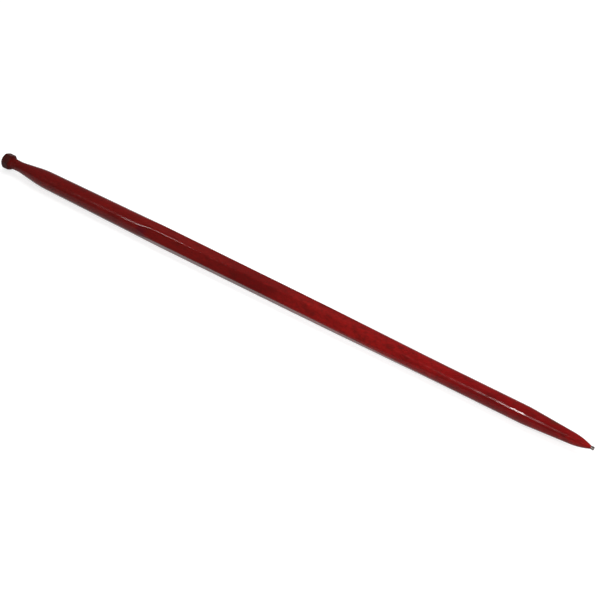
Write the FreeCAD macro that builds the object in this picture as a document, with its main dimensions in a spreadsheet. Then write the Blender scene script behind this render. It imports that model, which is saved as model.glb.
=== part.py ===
import FreeCAD, Part
import math
import os
import Sketcher

# A bale spear: one forged steel bar that is pushed into a bale, and the nut that holds it.
# +X runs along the bar to its point and +Z is up. The origin is on the bar's axis, at the
# wide end of the tapered seat, where the spear stops in its socket. Lengths are in millimetres
# and angles in degrees.

doc = FreeCAD.newDocument("bale_spear")

# ---------------------------------------------------------------- driving dimensions

dimensions = {
    # the stud, which takes the nut
    "stud_diameter": 19.05,
    "stud_length": 41.5,
    "stud_chamfer": 1.5,
    # the tapered seat
    "seat_diameter": 31.8,
    "seat_length": 53.5,
    "seat_blend_radius": 300,
    # the round shank, which thickens slowly
    "shank_end_diameter": 35.7,
    "shank_length": 245,
    # the swell, where the forging turns from round to six-sided and is thickest
    "swell_diameter": 37.7,
    "swell_length": 45,
    # the body, which stays stout, and the taper after it
    "body_end_diameter": 35.9,
    "body_length": 306,
    "nose_diameter": 30.4,
    "taper_length": 255,
    # the nose and its blunt point
    "shoulder_diameter": 29.9,
    "nose_length": 177,
    "shoulder_blend_radius": 200,
    "point_end_diameter": 19.6,
    "point_length": 83,
    "crown_length": 34,
    # the pip left on the end of the point
    "pip_root_diameter": 5.2,
    "pip_diameter": 6,
    "pip_length": 5,
    # the six flats forged along the body
    "flat_count": 6,
    "flats_start_width": 33.1,
    "flats_end_width": 30.1,
    "flats_start_from_seat": 260,
    "flats_length": 610,
    "flats_run_in": 30,
    # the nut
    "nut_width": 25.4,
    "nut_height": 17.4,
    "nut_side_count": 6,
    "nut_turn": 36,
    "nut_crown_diameter": 22,
    "nut_crown_angle": 39,
    "nut_countersink": 0.6,
    "thread_clearance": 0.1,
    "stud_stand_out": 2,
}

sheet = doc.addObject("Spreadsheet::Sheet", "Sizes")
for row, (alias, value) in enumerate(dimensions.items(), start=1):
    sheet.set(f"A{row}", alias)
    sheet.set(f"B{row}", str(value))
    sheet.setAlias(f"B{row}", alias)
doc.recompute()


def sized(formula):
    """Put the sheet's name before every dimension that a formula names."""
    words = formula.replace("(", "( ").replace(")", " )").split()
    return " ".join(f"Sizes.{word}" if word in dimensions else word for word in words)


# ---------------------------------------------------------------- sketch helpers

def add_sketch(body, name, plane):
    """An empty sketch on one of the body's own origin planes."""
    sketch = body.newObject("Sketcher::SketchObject", name)
    support = next(item for item in body.Origin.OriginFeatures if item.Role == plane)
    sketch.AttachmentSupport = [(support, "")]
    sketch.MapMode = "FlatFace"
    return sketch


def bind(sketch, constraint, formula):
    """Add a dimension to the sketch and tie it to a formula on the sheet."""
    index = sketch.addConstraint(constraint)
    sketch.setExpression(f"Constraints[{index}]", sized(formula))


def place_point(sketch, geometry, vertex, formulas):
    """Fix a vertex at its two distances from the sketch's origin."""
    origin = (-1, 1)
    for kind, cross_axis, formula in zip(("DistanceX", "DistanceY"), (-2, -1), formulas):
        value = sketch.evalExpression(sized(formula))
        if value == 0:
            sketch.addConstraint(Sketcher.Constraint("PointOnObject", geometry, vertex, cross_axis))
        else:
            bind(sketch, Sketcher.Constraint(kind, *origin, geometry, vertex, value), formula)


def draw_outline(sketch, corners, blends=None, crowned=()):
    """Draw a closed outline through corners given by formulas.

    A corner in blends is rounded to the radius that its formula gives. The side that starts at
    a corner in crowned is an arc that runs on from the side before it, without a kink.
    """
    blends = blends or {}
    points = [
        FreeCAD.Vector(*(float(sketch.evalExpression(sized(formula))) for formula in corner), 0)
        for corner in corners
    ]
    count = len(corners)
    sides = [
        sketch.addGeometry(Part.LineSegment(points[index], points[(index + 1) % count]), False)
        for index in range(count)
        if index not in crowned
    ]
    for index in crowned:
        sides.insert(index, add_crown(sketch, *points[index - 1:index + 2]))
    for index, corner in enumerate(corners):
        before, after = sides[index - 1], sides[index]
        if index in blends:
            add_blend(sketch, before, after, [points[index + step] for step in (-1, 0, 1)],
                      corner, blends[index])
            continue
        vertex_before = 1 if index - 1 in crowned else 2
        if index in crowned:
            sketch.addConstraint(Sketcher.Constraint("Tangent", before, 2, after, 2))
        else:
            sketch.addConstraint(Sketcher.Constraint("Coincident", before, vertex_before, after, 1))
        place_point(sketch, before, vertex_before, corner)


def add_crown(sketch, before, start, end):
    """An arc from start to end that leaves start in the direction it was reached in."""
    along = (start - before).normalize()
    chord = end - start
    normal = FreeCAD.Vector(along.y, -along.x, 0)
    radius = chord.Length ** 2 / (2 * chord.dot(normal))
    centre = start + normal * radius
    middle = centre + ((start + end) / 2 - centre).normalize() * radius
    return sketch.addGeometry(Part.Arc(end, middle, start), False)


def add_blend(sketch, before, after, points, corner, radius_formula):
    """Round the corner between two sides, which keep their meeting point as a marked point."""
    radius = float(sketch.evalExpression(sized(radius_formula)))
    into = (points[0] - points[1]).normalize()
    out = (points[2] - points[1]).normalize()
    reach = radius * math.tan((math.pi - into.getAngle(out)) / 2)
    start = points[1] + into * reach
    end = points[1] + out * reach
    centre = points[1] + (into + out).normalize() * math.hypot(radius, reach)
    middle = centre + (points[1] - centre).normalize() * radius
    sketch.moveGeometry(before, 2, start)
    sketch.moveGeometry(after, 1, end)
    arc = sketch.addGeometry(Part.Arc(end, middle, start), False)
    marked = sketch.addGeometry(Part.Point(points[1]), True)
    sketch.addConstraint(Sketcher.Constraint("Tangent", before, 2, arc, 2))
    sketch.addConstraint(Sketcher.Constraint("Tangent", arc, 1, after, 1))
    sketch.addConstraint(Sketcher.Constraint("PointOnObject", marked, 1, before))
    sketch.addConstraint(Sketcher.Constraint("PointOnObject", marked, 1, after))
    bind(sketch, Sketcher.Constraint("Radius", arc, radius), radius_formula)
    place_point(sketch, marked, 1, corner)


def draw_polygon(sketch, side_count, width_formula):
    """Draw a regular polygon about the origin, one flat level at the top, by its width."""
    width = float(sketch.evalExpression(sized(width_formula)))
    corner_radius = width / 2 / math.cos(math.pi / side_count)
    turns = [math.pi / 2 + math.pi * (2 * index - 1) / side_count for index in range(side_count)]
    points = [
        FreeCAD.Vector(corner_radius * math.cos(turn), corner_radius * math.sin(turn), 0)
        for turn in turns
    ]
    sides = [
        sketch.addGeometry(Part.LineSegment(points[index], points[(index + 1) % side_count]), False)
        for index in range(side_count)
    ]
    inner = Part.Circle(FreeCAD.Vector(), FreeCAD.Vector(0, 0, 1), width / 2)
    circle = sketch.addGeometry(inner, True)
    sketch.addConstraint(Sketcher.Constraint("Coincident", circle, 3, -1, 1))
    bind(sketch, Sketcher.Constraint("Diameter", circle, width), width_formula)
    for index, side in enumerate(sides):
        following = sides[(index + 1) % side_count]
        sketch.addConstraint(Sketcher.Constraint("Coincident", side, 2, following, 1))
        sketch.addConstraint(Sketcher.Constraint("Tangent", side, circle))
        if index > 1:
            sketch.addConstraint(Sketcher.Constraint("Equal", side, sides[1]))
    sketch.addConstraint(Sketcher.Constraint("Horizontal", sides[0]))


def turn_about_bar(body, feature_kind, name, sketch):
    """Turn a sketch all the way round the body's own X axis, to add or to cut."""
    feature = body.newObject(f"PartDesign::{feature_kind}", name)
    feature.Profile = sketch
    feature.ReferenceAxis = (sketch, ["H_Axis"])
    feature.Angle = 360
    return feature


# ---------------------------------------------------------------- tine

def make_tine():
    """The forged bar, drawn from the end of its stud to the end of its pip."""
    body = doc.addObject("PartDesign::Body", "tine")
    body.Label = "tine"
    stretches = (
        ("stud_length", "stud_diameter"),
        ("seat_length", "seat_diameter"),
        ("shank_length", "shank_end_diameter"),
        ("swell_length", "swell_diameter"),
        ("body_length", "body_end_diameter"),
        ("taper_length", "nose_diameter"),
        ("nose_length", "shoulder_diameter"),
        ("point_length", "point_end_diameter"),
        ("crown_length", "pip_root_diameter"),
        ("pip_length", "pip_diameter"),
    )
    outline = [
        ("0", "0"),
        ("0", "stud_diameter / 2 - stud_chamfer"),
        ("stud_chamfer", "stud_diameter / 2"),
    ]
    corner_after = {}
    station = "0"
    for length, diameter in stretches:
        station = f"{station} + {length}"
        corner_after[length] = len(outline)
        outline.append((station, f"{diameter} / 2"))
    outline.append((station, "0"))
    profile = add_sketch(body, "tine_outline", "XZ_Plane")
    draw_outline(
        profile,
        outline,
        blends={
            corner_after["seat_length"]: "seat_blend_radius",
            corner_after["nose_length"]: "shoulder_blend_radius",
        },
        crowned=(corner_after["point_length"],),
    )
    turn_about_bar(body, "Revolution", "forged_bar", profile)
    forge_flats(body)
    body.setExpression("Placement.Base.x", sized("- ( stud_length + seat_length )"))
    return body


def forge_flats(body):
    """Six flats along the body, which start with a short ramp and fade out into the nose."""
    seat = "stud_length + seat_length"
    start = f"{seat} + flats_start_from_seat"
    outline = [
        (f"{start} - flats_run_in", "shank_end_diameter / 2"),
        (start, "flats_start_width / 2"),
        (f"{start} + flats_length", "flats_end_width / 2"),
        (f"{start} + flats_length", "swell_diameter"),
        (f"{start} - flats_run_in", "swell_diameter"),
    ]
    sketch = add_sketch(body, "flat_outline", "XZ_Plane")
    draw_outline(sketch, outline)
    flat = body.newObject("PartDesign::Pocket", "top_flat")
    flat.Profile = sketch
    flat.SideType = "Symmetric"
    flat.setExpression("Length", sized("2 * swell_diameter"))
    doc.recompute()
    pattern = body.newObject("PartDesign::PolarPattern", "six_flats")
    pattern.Originals = [flat]
    pattern.Axis = (sketch, ["H_Axis"])
    pattern.Angle = 360
    pattern.setExpression("Occurrences", sized("flat_count"))
    body.Tip = pattern


# ---------------------------------------------------------------- nut

def make_nut():
    """The hexagon nut, drawn from its outer face towards the seat."""
    body = doc.addObject("PartDesign::Body", "hex_nut")
    body.Label = "hex_nut"
    hexagon = add_sketch(body, "nut_hexagon", "YZ_Plane")
    draw_polygon(hexagon, dimensions["nut_side_count"], "nut_width")
    blank = body.newObject("PartDesign::Pad", "nut_blank")
    blank.Profile = hexagon
    blank.setExpression("Length", sized("nut_height"))
    cut_crowns(body)
    cut_bore(body)
    body.setExpression("Placement.Base.x", sized("stud_stand_out - stud_length - seat_length"))
    body.Placement.Rotation = FreeCAD.Rotation(FreeCAD.Vector(1, 0, 0), dimensions["nut_turn"])
    body.setExpression("Placement.Rotation.Angle", sized("nut_turn"))
    return body


def cut_crowns(body):
    """Take the corners off both faces of the nut."""
    slope = "( nut_width - nut_crown_diameter / 2 ) * tan( nut_crown_angle )"
    outlines = {
        "outer": ("0", slope),
        "inner": ("nut_height", f"nut_height - {slope}"),
    }
    for face, (flat_end, slope_end) in outlines.items():
        sketch = add_sketch(body, f"{face}_crown_outline", "XZ_Plane")
        draw_outline(sketch, [
            (flat_end, "nut_crown_diameter / 2"),
            (slope_end, "nut_width"),
            (flat_end, "nut_width"),
        ])
        turn_about_bar(body, "Groove", f"{face}_crown", sketch)


def cut_bore(body):
    """The threaded hole at the thread's outer size, with a countersink at each face."""
    bore = "( stud_diameter / 2 + thread_clearance )"
    mouth = f"{bore} + nut_countersink"
    sketch = add_sketch(body, "bore_outline", "XZ_Plane")
    draw_outline(sketch, [
        ("0", "0"),
        ("0", mouth),
        ("nut_countersink", bore),
        ("nut_height - nut_countersink", bore),
        ("nut_height", mouth),
        ("nut_height", "0"),
    ])
    turn_about_bar(body, "Groove", "threaded_hole", sketch)


# ---------------------------------------------------------------- build, check and write

def check(parts):
    """Stop if any object failed or any sub-part isn't one sound solid."""
    for item in doc.Objects:
        if {"Invalid", "Error"} & set(item.State):
            raise RuntimeError(f"{item.Name} failed: {item.State}")
    for part in parts:
        shape = part.Shape
        if shape.isNull() or not shape.isValid() or len(shape.Solids) != 1:
            raise RuntimeError(f"{part.Label} isn't one sound solid")


sub_parts = [make_tine(), make_nut()]
doc.recompute()
check(sub_parts)

os.makedirs("parts", exist_ok=True)
for sub_part in sub_parts:
    sub_part.Shape.exportStep(f"parts/{sub_part.Label}.step")
    box = sub_part.Shape.BoundBox
    print(f"{sub_part.Label}: {sub_part.Shape.Volume:.0f} mm3, x {box.XMin:.2f} to {box.XMax:.2f},"
          f" y {box.YMin:.2f} to {box.YMax:.2f}, z {box.ZMin:.2f} to {box.ZMax:.2f}")
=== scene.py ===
import math

import bpy
import numpy as np
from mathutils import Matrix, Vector


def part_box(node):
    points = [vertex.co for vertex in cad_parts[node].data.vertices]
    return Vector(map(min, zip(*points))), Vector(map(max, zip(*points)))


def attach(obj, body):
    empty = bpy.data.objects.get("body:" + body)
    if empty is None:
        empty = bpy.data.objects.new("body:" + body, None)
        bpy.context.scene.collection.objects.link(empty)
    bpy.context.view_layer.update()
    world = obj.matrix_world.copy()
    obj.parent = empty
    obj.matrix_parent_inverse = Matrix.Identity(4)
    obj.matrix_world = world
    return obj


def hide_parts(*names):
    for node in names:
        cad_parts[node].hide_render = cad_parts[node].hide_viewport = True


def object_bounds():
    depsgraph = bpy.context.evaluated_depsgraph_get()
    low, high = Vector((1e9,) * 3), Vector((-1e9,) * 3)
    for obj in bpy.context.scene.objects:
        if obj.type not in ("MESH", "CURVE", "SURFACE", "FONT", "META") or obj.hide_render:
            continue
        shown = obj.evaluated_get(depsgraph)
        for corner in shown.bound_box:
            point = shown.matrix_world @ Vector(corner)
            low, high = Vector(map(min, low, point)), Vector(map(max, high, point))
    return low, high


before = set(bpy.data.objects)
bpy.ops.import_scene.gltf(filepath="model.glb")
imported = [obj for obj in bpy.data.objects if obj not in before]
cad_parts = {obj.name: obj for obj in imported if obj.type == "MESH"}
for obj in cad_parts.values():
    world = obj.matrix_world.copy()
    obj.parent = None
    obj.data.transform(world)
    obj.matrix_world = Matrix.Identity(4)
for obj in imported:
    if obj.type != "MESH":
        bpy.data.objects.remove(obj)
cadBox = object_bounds()
print("frame loaded")

# Lengths in the dictionaries are millimetres, angles are degrees. Meshes are made in metres.
mm = 0.001


# --- surfaces worked out on grids ---

def softMinimum(first, second, reach):
    # the smaller of two values, with a rounded change-over where they differ by less than reach
    overlap = np.clip(reach - np.abs(first - second), 0, None) / reach
    return np.minimum(first, second) - overlap ** 2 * reach / 4


def ringPoints(along, radius, angles):
    # a point of the skin is at (along, radius times cosine, radius times sine) of its angle
    across = radius * np.cos(angles)
    upward = radius * np.sin(angles)
    return np.stack([along + 0 * across, across, upward], axis=-1)


def ripple(along, angles, wavelengths, count, seed):
    # a sum of waves that run along and around the bar, a whole number of them round it,
    # each as tall as every other, scaled so that the sum mostly stays within one
    draw = np.random.default_rng(seed)
    height = np.zeros(np.broadcast(along, angles).shape)
    for wave in range(count):
        pitch = draw.uniform(*wavelengths)
        turns = draw.integers(-3, 4)
        start = draw.uniform(0, 2 * np.pi)
        height += np.sin(2 * np.pi * along / pitch + turns * angles + start)
    return height / np.sqrt(2 * count)


def addMesh(name, vertices, faces, material):
    mesh = bpy.data.meshes.new(name)
    mesh.from_pydata(vertices.tolist(), [], faces)
    mesh.polygons.foreach_set("use_smooth", np.ones(len(mesh.polygons), bool))
    mesh.materials.append(material)
    mesh.update()
    piece = bpy.data.objects.new(name, mesh)
    bpy.context.scene.collection.objects.link(piece)
    return piece


def gridFaces(rows, columns, wrapRows):
    # four corners of each cell: a row and the next one, a column and the next one round the ring
    row = np.arange(rows if wrapRows else rows - 1)[:, None]
    column = np.arange(columns)[None, :]
    nextRow = (row + 1) % rows
    nextColumn = (column + 1) % columns
    corners = [row * columns + column, row * columns + nextColumn,
               nextRow * columns + nextColumn, nextRow * columns + column]
    return np.stack(corners, axis=-1).reshape(-1, 4)


def closedTube(name, points, material):
    # rings of points along a bar, closed at each end by a fan about the ring's centre
    rows, columns = points.shape[:2]
    ends = np.stack([points[0].mean(axis=0), points[-1].mean(axis=0)])
    vertices = np.concatenate([points.reshape(-1, 3), ends]) * mm
    column = np.arange(columns)
    nextColumn = (column + 1) % columns
    last = (rows - 1) * columns
    firstFan = np.stack([nextColumn, column, np.full(columns, rows * columns)], axis=-1)
    lastFan = np.stack([last + column, last + nextColumn, np.full(columns, rows * columns + 1)], axis=-1)
    cells = gridFaces(rows, columns, wrapRows=False)
    faces = cells.tolist() + firstFan.tolist() + lastFan.tolist()
    return addMesh(name, vertices, faces, material)


def closedRing(name, points, material):
    # rows that come back to the first one, as on a nut, so the skin has no ends
    rows, columns = points.shape[:2]
    faces = gridFaces(rows, columns, wrapRows=True)
    return addMesh(name, points.reshape(-1, 3) * mm, faces.tolist(), material)


# --- node helpers ---

def feed(tree, socket, value):
    # a socket is joined to another node's output, or set to a plain value
    if isinstance(value, bpy.types.NodeSocket):
        tree.links.new(value, socket)
    else:
        socket.default_value = value


def addNode(tree, kind, settings=None, numbered=None, **named):
    # sockets are given by name, with _ for a space, or by number where several share a name
    node = tree.nodes.new(kind)
    for setting, value in (settings or {}).items():
        setattr(node, setting, value)
    for number, value in (numbered or {}).items():
        feed(tree, node.inputs[number], value)
    for name, value in named.items():
        feed(tree, node.inputs[name.replace("_", " ")], value)
    return node


def newMaterial(name):
    material = bpy.data.materials.new(name)
    material.use_nodes = True
    material.node_tree.nodes.clear()
    return material, material.node_tree


def mixColours(tree, amount, first, second):
    mixer = addNode(tree, "ShaderNodeMix", {"data_type": "RGBA"}, {0: amount, 6: first, 7: second})
    return mixer.outputs[2]


def mixValues(tree, operation, first, second, third=0.0):
    mixer = addNode(tree, "ShaderNodeMath", {"operation": operation}, {0: first, 1: second, 2: third})
    return mixer.outputs[0]


def noise(tree, place, scale, detail=3.0, roughness=0.5, stretch=(1, 1, 1)):
    mapping = addNode(tree, "ShaderNodeMapping", Vector=place, Scale=stretch)
    pattern = addNode(tree, "ShaderNodeTexNoise", Vector=mapping.outputs[0], Scale=scale,
                      Detail=detail, Roughness=roughness)
    return pattern.outputs[0]


def between(tree, value, low, high, toLow=0.0, toHigh=1.0):
    # maps low..high smoothly onto toLow..toHigh and holds it there outside
    ranger = addNode(tree, "ShaderNodeMapRange", {"interpolation_type": "SMOOTHSTEP"},
                     {0: value, 1: low, 2: high, 3: toLow, 4: toHigh})
    return ranger.outputs[0]


def spot(tree, place, mark):
    # full strength at the mark's centre, down to nothing about its reach away, with a ragged border
    away = addNode(tree, "ShaderNodeVectorMath", {"operation": "DISTANCE"}, {0: place, 1: mark["centre"]})
    ragged = noise(tree, place, mark["raggedScale"], 4, 0.6)
    reach = mark["reach"]
    ragged = mixValues(tree, "MULTIPLY_ADD", ragged, reach, away.outputs["Value"])
    return between(tree, ragged, reach * 0.8, reach * 1.4, mark["strength"], 0)


# --- enamel on the forged bar ---

enamel = {
    "deepRed": (0.150, 0.0030, 0.0034, 1),
    "brightRed": (0.250, 0.0075, 0.0066, 1),
    "brownRed": (0.072, 0.0045, 0.0036, 1),
    "bareSteel": (0.105, 0.082, 0.078, 1),
    # how fine each pattern is: about this many blotches in a metre
    "cloudScale": 14, "dirtScale": 75, "mottleScale": 240, "sheenScale": 90, "chipScale": 900,
    "dirtStrength": 0.62, "mottleStrength": 0.45,
    # the bar's paint is set darker towards the stud by these three: painted shade
    "rootShadeStrength": 0.60, "rootShadeFrom": 0.30, "rootShadeTo": 0.85,     # places along the bar in metres
    "bareFrom": 0.0022, "bareTo": 0.0028,    # where the paint ends, in metres past the pip's root
    "gloss": 0.10,           # roughness of the paint, which varies a little about it
    "bareGloss": 0.48,       # roughness of the bare steel
    "specular": 0.08,
    "peelHeight": 0.02, "peelScale": 420,        # orange peel of the sprayed paint
    "forgingHeight": 0.05, "forgingScale": 110,  # forging scale under it
}

# marks on the paint, in metres: a dark purple patch where the flats begin, and near the point a painted dark
# reflection along the upper edge past the shoulder
flatsRunInPatch = {"colour": (0.080, 0.0040, 0.0090, 1), "centre": (0.247, -0.0165, 0.004), "reach": 0.016,
          "strength": 0.8, "raggedScale": 160}
# near the point, dark brown on the upper edge past the shoulder: a painted reflection of the dark
paintedDarkReflection = {"colour": (0.060, 0.0130, 0.0050, 1), "centre": (1.078, 0.006, 0.0135), "reach": 0.013,
        "strength": 0.6, "raggedScale": 160}


def makeEnamel():
    material, tree = newMaterial("redEnamel")
    place = addNode(tree, "ShaderNodeTexCoord").outputs["Object"]
    along = addNode(tree, "ShaderNodeSeparateXYZ", Vector=place).outputs[0]
    # the paint's own tone, then brown specks of dirt
    clouds = noise(tree, place, enamel["cloudScale"], stretch=(0.35, 1, 1))
    clouds = between(tree, clouds, 0.35, 0.65)
    red = mixColours(tree, clouds, enamel["deepRed"], enamel["brightRed"])
    dirt = noise(tree, place, enamel["dirtScale"], 6, 0.65, (0.5, 1, 1))
    dirt = between(tree, dirt, 0.48, 0.70, 0, enamel["dirtStrength"])
    red = mixColours(tree, dirt, red, enamel["brownRed"])
    # the paint is darkened brown on the shank and clears towards the point: painted shade, for light that
    # falls off away from the point
    rootShade = between(tree, along, enamel["rootShadeFrom"], enamel["rootShadeTo"], enamel["rootShadeStrength"], 0)
    red = mixColours(tree, rootShade, red, enamel["brownRed"])
    mottle = noise(tree, place, enamel["mottleScale"], 5, 0.62, (0.6, 1, 1))
    mottle = between(tree, mottle, 0.42, 0.66, 0, enamel["mottleStrength"])
    red = mixColours(tree, mottle, red, enamel["brownRed"])
    # the purple patch where the flats begin, and the painted dark reflection near the point
    for mark in (flatsRunInPatch, paintedDarkReflection):
        red = mixColours(tree, spot(tree, place, mark), red, mark["colour"])
    # the paint is rubbed off the pip at the very end of the point
    pipStart = tineHigh.x - tine["pipLength"] * mm
    chips = noise(tree, place, enamel["chipScale"], 3)
    edge = mixValues(tree, "ADD", along, mixValues(tree, "MULTIPLY", chips, 0.004))
    bare = between(tree, edge, pipStart + enamel["bareFrom"], pipStart + enamel["bareTo"])
    colour = mixColours(tree, bare, red, enamel["bareSteel"])
    sheen = noise(tree, place, enamel["sheenScale"], 4, 0.6, (0.5, 1, 1))
    sheen = between(tree, sheen, 0.3, 0.7, enamel["gloss"] - 0.03, enamel["gloss"] + 0.07)
    rougher = mixValues(tree, "MULTIPLY", bare, enamel["bareGloss"] - enamel["gloss"])
    sheen = mixValues(tree, "ADD", sheen, rougher)
    peel = noise(tree, place, enamel["peelScale"], 2, 0.4)
    forging = noise(tree, place, enamel["forgingScale"], 3, 0.5, (0.5, 1, 1))
    bump = addNode(tree, "ShaderNodeBump", Strength=1.0, Distance=enamel["forgingHeight"] * mm,
                   Height=forging)
    bump = addNode(tree, "ShaderNodeBump", Strength=1.0, Distance=enamel["peelHeight"] * mm,
                   Height=peel, Normal=bump.outputs[0])
    shader = addNode(tree, "ShaderNodeBsdfPrincipled", Base_Color=colour, Metallic=bare,
                     Roughness=sheen, Normal=bump.outputs[0])
    shader.inputs["Specular IOR Level"].default_value = enamel["specular"]
    addNode(tree, "ShaderNodeOutputMaterial", Surface=shader.outputs[0])
    return material


# --- the tine, one forging ---

tine = {
    "studRadius": 9.525, "studLength": 41.5, "studChamfer": 1.5,
    "seatRadius": 15.9, "seatLength": 53.5,
    "shankEndRadius": 17.85, "shankLength": 245,
    "swellRadius": 18.85, "swellLength": 45,
    "bodyEndRadius": 17.95, "bodyLength": 306,
    "noseRadius": 15.2, "taperLength": 255,
    "shoulderRadius": 14.95, "noseLength": 177,
    "pointEndRadius": 9.8, "pointLength": 83,
    "pipRootRadius": 2.6, "crownLength": 34,
    "pipRadius": 3.0, "pipLength": 5,
    "pipEdge": 0.35,
    "flatsFromSeat": 260, "flatsLength": 610, "flatsRunIn": 30,
    "flatsStartHalfWidth": 16.55, "flatsEndHalfWidth": 15.05,
    "cornerReach": 1.6,      # how soft the six long corners are
    "fadeReach": 0.3,        # how soft the border of a flat is against the round bar
    "threadPitch": 1.5875, "threadDepth": 0.8, "threadRunOut": 7,
    "rippleHeight": 0.035,   # unevenness left by the forging hammer, in short and long waves
    "shortRipples": (12, 30), "longRipples": (60, 180),
    "columns": 96,           # points round the bar
    "threadStep": 0.17, "barStep": 1.9,      # distance between rings on the thread and on the bar
}
tineLow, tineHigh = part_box("tine")

# stations along the bar from the end of the stud, each with its radius and the half length
# of the blend that rounds it
stretches = (
    ("studLength", "studRadius", 3.0),
    ("seatLength", "seatRadius", 17.0),
    ("shankLength", "shankEndRadius", 12.0),
    ("swellLength", "swellRadius", 14.0),
    ("bodyLength", "bodyEndRadius", 70.0),
    ("taperLength", "noseRadius", 45.0),
    ("noseLength", "shoulderRadius", 6.0),
    ("pointLength", "pointEndRadius", 0.6),
)


def crownArc(start, end, slope, count):
    # a circular arc from start to end that leaves start at the given slope: its centre lies
    # on the normal to that slope, as far off as makes both ends equally distant
    along = np.array([1.0, slope]) / math.hypot(1, slope)
    normal = np.array([along[1], -along[0]])
    chord = end - start
    radius = chord @ chord / (2 * chord @ normal)
    turn = np.linspace(0, 2 * math.asin(np.linalg.norm(chord) / (2 * radius)), count)[:, None]
    return start + radius * (np.sin(turn) * along + (1 - np.cos(turn)) * normal)


def rawOutline():
    # straight tapers from station to station, then the arc of the crown and the pip
    stations = [(0.0, tine["studRadius"], 0.1)]
    for length, radius, blend in stretches:
        stations.append((stations[-1][0] + tine[length], tine[radius], blend))
    stations = np.array(stations)
    pointEnd = stations[-1, :2]
    slope = (stations[-1, 1] - stations[-2, 1]) / tine["pointLength"]
    crownEnd = pointEnd + (tine["crownLength"], tine["pipRootRadius"] - pointEnd[1])
    crown = crownArc(pointEnd, crownEnd, slope, 16)[1:]
    pipEnd = [crownEnd + (tine["pipLength"], tine["pipRadius"] - tine["pipRootRadius"])]
    outline = np.concatenate([stations[:, :2], crown, pipEnd])
    blends = np.concatenate([stations[:, 2], np.full(len(crown) + 1, 0.5)])
    return outline[:, 0], outline[:, 1], blends


def runningMean(along, stations, values, halfWidths):
    # the mean of a broken line over a window, from the difference of its running integral
    step = 0.1
    reach = max(halfWidths) + 1
    fine = np.arange(np.min(along) - reach, np.max(along) + reach, step)
    integral = np.concatenate([[0], np.cumsum(np.interp(fine, stations, values)) * step])
    edges = np.concatenate([fine, [fine[-1] + step]]) - step / 2
    half = np.interp(along, stations, halfWidths)
    total = np.interp(along + half, edges, integral) - np.interp(along - half, edges, integral)
    return total / (2 * half)


def flatsHalfWidth(along):
    # how far the six flats are from the axis: a short ramp, then a slow taper, then out of reach
    start = tine["studLength"] + tine["seatLength"] + tine["flatsFromSeat"]
    end = start + tine["flatsLength"]
    runIn = start - tine["flatsRunIn"]
    stations = np.array([runIn - 40, runIn, start, end, end + 120])
    widths = np.array([tine["shankEndRadius"] + 1.8, tine["shankEndRadius"],
                       tine["flatsStartHalfWidth"], tine["flatsEndHalfWidth"],
                       tine["flatsEndHalfWidth"] + 1.5])
    return runningMean(along, stations, widths, np.full(5, 6.0))


def threadCut(along, angles):
    # depth below the crest of a single screw thread: a wave that climbs one pitch each turn,
    # flat at crest and root, fading where the thread runs out before the seat
    phase = along / tine["threadPitch"] - angles / (2 * np.pi)
    saw = np.abs(2 * (phase - np.floor(phase)) - 1)
    runOut = tine["studLength"] - tine["threadRunOut"]
    fade = np.clip((runOut - along) / 4, 0, 1)
    return tine["threadDepth"] * np.clip(1.3 * saw - 0.15, 0, 1) * fade


def barRadius(along, angles):
    # the round outline, cut by six flats with soft corners, less the thread and a slight ripple
    stations, radii, blends = rawOutline()
    turned = runningMean(along, stations, radii, blends)
    fromFlat = (angles - np.pi / 2 + np.pi / 6) % (np.pi / 3) - np.pi / 6
    halfWidth = flatsHalfWidth(along)
    flat = halfWidth / np.cos(fromFlat)
    nextFlat = halfWidth / np.cos(np.pi / 3 - np.abs(fromFlat))
    hexagon = softMinimum(flat, nextFlat, tine["cornerReach"])
    radius = softMinimum(turned, hexagon, tine["fadeReach"])
    lead = tine["studRadius"] - tine["studChamfer"] + along
    threaded = np.minimum(tine["studRadius"] - threadCut(along, angles), lead)
    onStud = along < tine["studLength"] - tine["threadRunOut"]
    uneven = np.clip((along - tine["studLength"]) / 20, 0, 1) * np.clip(radius / 12, 0, 1)
    height = (0.5 * ripple(along, angles, tine["shortRipples"], 26, 3)
              + ripple(along, angles, tine["longRipples"], 12, 5))
    radius = radius + tine["rippleHeight"] * (height - 1.5) * uneven
    return np.where(onStud, threaded, radius)


def ringAngles():
    # closer together at the six corners than in the middle of the flats
    even = np.arange(tine["columns"]) * 2 * np.pi / tine["columns"]
    return even - 0.07 * np.sin(6 * even)


def makeTine(material):
    total = (tineHigh.x - tineLow.x) / mm
    crownStart = total - tine["pipLength"] - tine["crownLength"]
    threadEnd = tine["studLength"] - tine["threadRunOut"]
    along = np.concatenate([
        np.arange(0, threadEnd, tine["threadStep"]),
        np.arange(threadEnd, tine["studLength"] + 6, 0.8),
        np.arange(tine["studLength"] + 6, crownStart, tine["barStep"]),
        np.linspace(crownStart, total - tine["pipLength"] - 1.5, 24),
        np.linspace(total - tine["pipLength"] - 1.2, total - tine["pipEdge"], 14),
    ])[:, None]
    angles = ringAngles()[None, :]
    rings = ringPoints(along, barRadius(along, angles), angles)
    # flat end of the stud, and the rounded edge and flat end of the pip
    around = angles[0]
    same = np.ones_like(around)
    studEnd = [ringPoints(0, barRadius(0.0, around) * share, around) for share in (0.3, 0.8)]
    pipEnd = []
    for turn in np.radians([22.5, 45, 67.5, 90]):
        radius = tine["pipRadius"] - tine["pipEdge"] * (1 - math.cos(turn))
        pipEnd.append(ringPoints(total - tine["pipEdge"] * (1 - math.sin(turn)), radius * same, around))
    for share in (0.7, 0.3):
        pipFlat = tine["pipRadius"] - tine["pipEdge"]
        pipEnd.append(ringPoints(total, pipFlat * share * same, around))
    points = np.concatenate([np.stack(studEnd), rings, np.stack(pipEnd)])
    points[..., 0] += tineLow.x / mm
    return closedTube("forgedTine", points, material)


# --- paint on the nut ---

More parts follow.
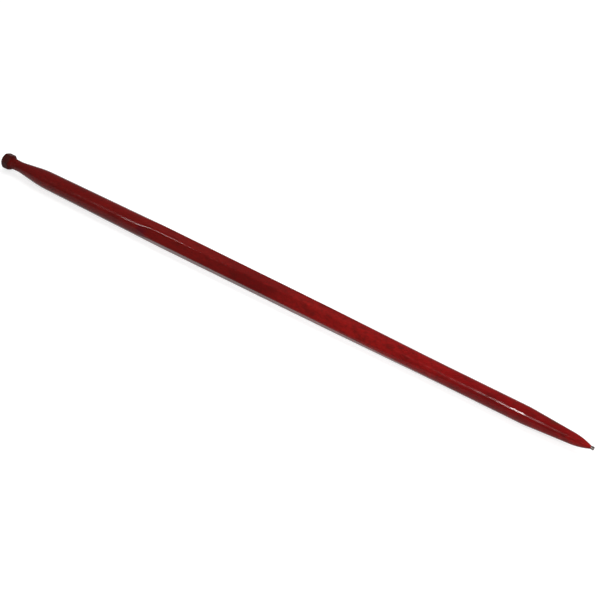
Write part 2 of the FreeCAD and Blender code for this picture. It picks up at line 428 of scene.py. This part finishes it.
nutPaint = {
    # the nut wears the bar's own red paint, but both reds here are set far darker than the bar's: painted
    # shade
    "shadedDarkRed": (0.050, 0.0026, 0.0020, 1),
    "shadedLightRed": (0.105, 0.0060, 0.0048, 1),
    "rust": (0.022, 0.0060, 0.0030, 1),
    # the brown that darkens the flanks and corners is painted shade
    "flankShadeBrown": (0.024, 0.0026, 0.0018, 1),
    "cloudScale": 90, "rustScale": 260, "flankShadeScale": 400,
    "rustStrength": 0.8, "flankShadeStrength": 0.7,
    "flankShadeFrom": 0.0125, "flankShadeTo": 0.0138,    # distances from the axis in metres
    "pitHeight": 0.12, "pitScale": 500,
    "gloss": 0.45,           # roughness of the paint, and 0.3 more where it is rusty
    "specular": 0.05,
}


def makeNutPaint():
    material, tree = newMaterial("nutPaint")
    place = addNode(tree, "ShaderNodeTexCoord").outputs["Object"]
    # clouds between the two darkened reds: painted shade over the nut's paint
    clouds = between(tree, noise(tree, place, nutPaint["cloudScale"], 4), 0.35, 0.65)
    red = mixColours(tree, clouds, nutPaint["shadedDarkRed"], nutPaint["shadedLightRed"])
    rust = noise(tree, place, nutPaint["rustScale"], 6, 0.7)
    rust = between(tree, rust, 0.55, 0.72, 0, nutPaint["rustStrength"])
    colour = mixColours(tree, rust, red, nutPaint["rust"])
    # the flanks, corners and outer rims of the faces are darkened brown: painted shade
    across = addNode(tree, "ShaderNodeMapping", Vector=place, Scale=(0, 1, 1)).outputs[0]
    radius = addNode(tree, "ShaderNodeVectorMath", {"operation": "LENGTH"}, {0: across})
    ragged = noise(tree, place, nutPaint["flankShadeScale"], 4, 0.6)
    ragged = mixValues(tree, "MULTIPLY_ADD", ragged, 0.002, radius.outputs["Value"])
    edge = between(tree, ragged, nutPaint["flankShadeFrom"], nutPaint["flankShadeTo"], 0, nutPaint["flankShadeStrength"])
    colour = mixColours(tree, edge, colour, nutPaint["flankShadeBrown"])
    sheen = between(tree, rust, 0, 1, nutPaint["gloss"], nutPaint["gloss"] + 0.3)
    pits = noise(tree, place, nutPaint["pitScale"], 4, 0.6)
    bump = addNode(tree, "ShaderNodeBump", Strength=1.0, Distance=nutPaint["pitHeight"] * mm, Height=pits)
    shader = addNode(tree, "ShaderNodeBsdfPrincipled", Base_Color=colour, Roughness=sheen,
                     Normal=bump.outputs[0])
    shader.inputs["Specular IOR Level"].default_value = nutPaint["specular"]
    addNode(tree, "ShaderNodeOutputMaterial", Surface=shader.outputs[0])
    return material


# --- the hexagon nut ---

nut = {
    "halfWidth": 12.7,
    "turn": 36,
    "crownRadius": 11.0, "crownAngle": 39,
    "countersink": 0.6,
    "threadClearance": 0.1,
    "cornerReach": 1.2,      # how soft the six upright corners are
    "columns": 180,          # points round the nut
    "threadStep": 0.17,
}
nutLow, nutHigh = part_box("hex_nut")


def nutOutlines(angles):
    # the corners of the nut's section at each angle: out over the outer face, across the flank
    # and back over the inner face, then home through the hole
    height = (nutHigh.x - nutLow.x) / mm
    fromFlat = (angles - np.radians(90 + nut["turn"]) + np.pi / 6) % (np.pi / 3) - np.pi / 6
    flank = softMinimum(nut["halfWidth"] / np.cos(fromFlat),
                        nut["halfWidth"] / np.cos(np.pi / 3 - np.abs(fromFlat)), nut["cornerReach"])
    crown = (flank - nut["crownRadius"]) * math.tan(math.radians(nut["crownAngle"]))
    bore = tine["studRadius"] + nut["threadClearance"]
    mouth = bore + nut["countersink"]
    same = np.ones_like(angles)
    crownRadius = nut["crownRadius"] * same
    corners = [(0 * same, mouth * same), (0 * same, crownRadius), (crown, flank),
               (height - crown, flank), (height * same, crownRadius), (height * same, mouth * same)]
    return np.array(corners), bore, height


def makeNut(material):
    angles = np.arange(nut["columns"]) * 2 * np.pi / nut["columns"]
    corners, bore, height = nutOutlines(angles)
    # each side of the section is divided evenly, and the corners are then worn round by
    # averaging each row with its neighbours
    rows = []
    for first, second, count in zip(corners[:-1], corners[1:], (8, 10, 30, 10, 8)):
        share = np.arange(count)[:, None, None] / count
        rows.append(first + (second - first) * share)
    skin = np.concatenate(rows + [corners[-1:]])
    for _ in range(2):
        skin[1:-1] = (skin[:-2] + 2 * skin[1:-1] + skin[2:]) / 4
    # the threaded hole: the stud's own thread with a clearance, opened by a countersink
    inward = np.arange(height - nut["threadStep"], 0, -nut["threadStep"])[:, None]
    fromStudEnd = inward + (nutLow.x - tineLow.x) / mm
    threaded = bore - threadCut(fromStudEnd, angles[None, :])
    sink = bore + nut["countersink"] - np.minimum(inward, height - inward)
    hole = np.maximum(threaded, sink)
    x = np.concatenate([skin[:, 0], inward + 0 * hole])
    radius = np.concatenate([skin[:, 1], hole])
    points = ringPoints(x, radius, angles[None, :])
    points[..., 0] += nutLow.x / mm
    return closedRing("hexNut", points, material)


redEnamel = makeEnamel()
forgedTine = makeTine(redEnamel)
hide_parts("tine")
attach(forgedTine, "root")
print("tine made,", len(forgedTine.data.polygons), "faces")

hexNut = makeNut(makeNutPaint())
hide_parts("hex_nut")
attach(hexNut, "root")
print("nut made,", len(hexNut.data.polygons), "faces")


# --- floor, lamps and camera ---

stage = {
    "floorSize": 14.0,       # metres
    "floorWhite": 0.46,
    "floorGlow": 0.67,       # lifts the lit floor to a full white for the eye and for reflections
    "skyGrey": 0.30,
}


def makeFloor():
    material, tree = newMaterial("paleFloor")
    rays = addNode(tree, "ShaderNodeLightPath").outputs
    seen = mixValues(tree, "MAXIMUM", rays["Is Camera Ray"], rays["Is Glossy Ray"])
    seen = mixValues(tree, "MAXIMUM", seen, rays["Is Transmission Ray"])
    glow = addNode(tree, "ShaderNodeEmission", Color=(1, 1, 1, 1),
                   Strength=mixValues(tree, "MULTIPLY", seen, stage["floorGlow"]))
    grey = stage["floorWhite"]
    matt = addNode(tree, "ShaderNodeBsdfDiffuse", Color=(grey, grey, grey, 1))
    both = addNode(tree, "ShaderNodeAddShader", numbered={0: matt.outputs[0], 1: glow.outputs[0]})
    addNode(tree, "ShaderNodeOutputMaterial", Surface=both.outputs[0])
    half = stage["floorSize"] / 2
    level = cadBox[0][2]
    corners = np.array([[-half, -half, level], [half, -half, level],
                        [half, half, level], [-half, half, level]])
    floor = addMesh("floor", corners, [[0, 1, 2, 3]], material)


def makeSky():
    world = bpy.data.worlds.new("studio")
    bpy.context.scene.world = world
    world.use_nodes = True
    tree = world.node_tree
    tree.nodes.clear()
    grey = stage["skyGrey"]
    back = addNode(tree, "ShaderNodeBackground", Color=(grey, grey, grey, 1), Strength=1.0)
    addNode(tree, "ShaderNodeOutputWorld", Surface=back.outputs[0])


camera = {
    "target": Vector((0.57437, 0.00915, 0)),
    "azimuth": 39.42,        # from the -Y side towards the point
    "elevation": 36.61,
    "distance": 3.7124,
    "lens": 137.04,
}


def direction(azimuth, elevation):
    turn, rise = math.radians(azimuth), math.radians(elevation)
    return Vector((math.sin(turn) * math.cos(rise), -math.cos(turn) * math.cos(rise), math.sin(rise)))


def aim(item, target):
    item.rotation_euler = (target - item.location).to_track_quat("-Z", "Y").to_euler()


def makeCamera():
    data = bpy.data.cameras.new("camera")
    data.lens = camera["lens"]
    data.clip_end = 50
    item = bpy.data.objects.new("camera", data)
    item.location = camera["target"] + direction(camera["azimuth"], camera["elevation"]) * camera["distance"]
    aim(item, camera["target"])
    bpy.context.scene.collection.objects.link(item)
    bpy.context.scene.camera = item
    return item


def addLamp(name, location, target, size, power, seenBy):
    data = bpy.data.lights.new(name, "AREA")
    data.shape = "RECTANGLE"
    data.size, data.size_y = size
    data.energy = power
    lamp = bpy.data.objects.new(name, data)
    lamp.location = location
    aim(lamp, target)
    lamp.visible_camera = False
    lamp.visible_diffuse = seenBy == "diffuse"
    lamp.visible_glossy = seenBy == "glossy"
    bpy.context.scene.collection.objects.link(lamp)


# soft lamps light the bar: the angle is taken round it, from the level on the eye's side up over
# the top, and lengths are metres
softLamps = {
    "key": {"along": 1.10, "angle": 50, "distance": 1.9, "size": (0.9, 0.9), "power": 24},
    "fill": {"along": 0.75, "angle": 112, "distance": 2.4, "size": (2.2, 2.0), "power": 46},
}
# glints are strips that show only as the bright lines in the gloss, each at a place along the bar
glints = {
    "noseGlint": {"along": 1.070, "distance": 1.7, "size": (0.15, 0.5), "power": 36},
    "pointGlint": {"along": 1.135, "distance": 1.7, "size": (0.08, 0.4), "power": 10},
    "shankGlint": {"along": 0.283, "distance": 1.7, "size": (0.13, 0.5), "power": 16},
}


def glintPlace(eye, along, distance):
    # where a lamp stands for its reflection to reach the eye from that place on the bar. The
    # bar mirrors a ray only along its length, so the lamp is on the eye's side of the bar, at
    # the given distance from the axis and as far past the place as the eye is short of it
    outward = Vector((0, eye.y, eye.z))
    past = (along - eye.x) * distance / outward.length
    return Vector((along + past, 0, 0)) + outward.normalized() * distance


def makeLamps(eye):
    for name, lamp in softLamps.items():
        target = Vector((lamp["along"], 0, 0))
        place = target + direction(0, lamp["angle"]) * lamp["distance"]
        addLamp(name, place, target, lamp["size"], lamp["power"], "diffuse")
    for name, lamp in glints.items():
        place = glintPlace(eye, lamp["along"], lamp["distance"])
        addLamp(name, place, Vector((place.x, 0, 0)), lamp["size"], lamp["power"], "glossy")


makeFloor()
makeSky()
eye = makeCamera().location.copy()
makeLamps(eye)
bpy.context.scene.view_settings.view_transform = "Standard"
print("stage, lamps and camera made")
